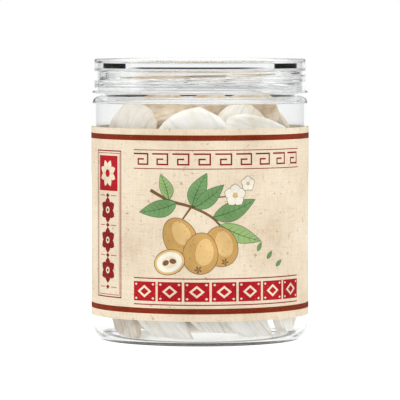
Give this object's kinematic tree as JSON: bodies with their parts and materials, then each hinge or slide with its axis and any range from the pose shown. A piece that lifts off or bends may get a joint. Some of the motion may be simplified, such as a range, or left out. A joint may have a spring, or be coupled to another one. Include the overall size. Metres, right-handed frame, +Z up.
{
  "type": "jar of dried chinese yam slices",
  "caption": "Clear straight-sided jar with a clear screw lid and a wrap-round paper label, filled with dried oval slices of Chinese yam root.",
  "frame": {"origin": "centre of the jar's foot, on the surface it stands on", "axes": "+Z up the jar's axis, -Y out of the label's printed front, +X to the right of someone who faces the label"},
  "size_m": [0.0848, 0.0848, 0.109],
  "materials": {
    "clear_pet": "clear moulded polyester, glossy",
    "clear_styrene": "clear moulded styrene, glossy",
    "seal_gum": "soft cloudy gasket",
    "label_paper": "matt tan fibre paper, printed",
    "dried_yam": "chalky dried root flesh"
  },
  "bodies": {
    "jar_body": {"jar": "clear_pet", "label": "label_paper", "slice_01": "dried_yam", "slice_02": "dried_yam", "slice_03": "dried_yam", "slice_04": "dried_yam", "slice_05": "dried_yam", "slice_06": "dried_yam", "slice_07": "dried_yam", "slice_08": "dried_yam", "slice_09": "dried_yam", "slice_10": "dried_yam", "slice_11": "dried_yam", "slice_12": "dried_yam", "slice_13": "dried_yam", "slice_14": "dried_yam", "slice_15": "dried_yam", "slice_16": "dried_yam", "slice_17": "dried_yam", "slice_18": "dried_yam", "slice_19": "dried_yam", "slice_20": "dried_yam", "slice_21": "dried_yam", "slice_22": "dried_yam", "slice_23": "dried_yam", "slice_24": "dried_yam", "slice_25": "dried_yam", "slice_26": "dried_yam", "slice_27": "dried_yam", "slice_28": "dried_yam", "slice_29": "dried_yam", "slice_30": "dried_yam", "slice_31": "dried_yam", "slice_32": "dried_yam", "slice_33": "dried_yam", "slice_34": "dried_yam", "slice_35": "dried_yam", "slice_36": "dried_yam", "slice_37": "dried_yam", "slice_38": "dried_yam", "slice_39": "dried_yam", "slice_40": "dried_yam", "slice_41": "dried_yam", "slice_42": "dried_yam", "slice_43": "dried_yam", "slice_44": "dried_yam", "slice_45": "dried_yam", "slice_46": "dried_yam", "slice_47": "dried_yam", "slice_48": "dried_yam"},
    "seal": {"seal_ring": "seal_gum"},
    "lid_body": {"lid": "clear_styrene"}
  },
  "joints": [
    {"name": "lid_rise", "type": "slide", "parent": "jar_body", "child": "seal", "axis": [0, 0, 1], "range_m": [0, 0.0126]},
    {"name": "lid_turn", "type": "hinge", "parent": "seal", "child": "lid_body", "pos_m": [0, 0, 0], "axis": [0, 0, 1], "range_deg": [0, 900]}
  ],
  "couplings": [
    {"joint": "lid_rise", "follows": "lid_turn", "m_per_rad": 0.00079577}
  ]
}
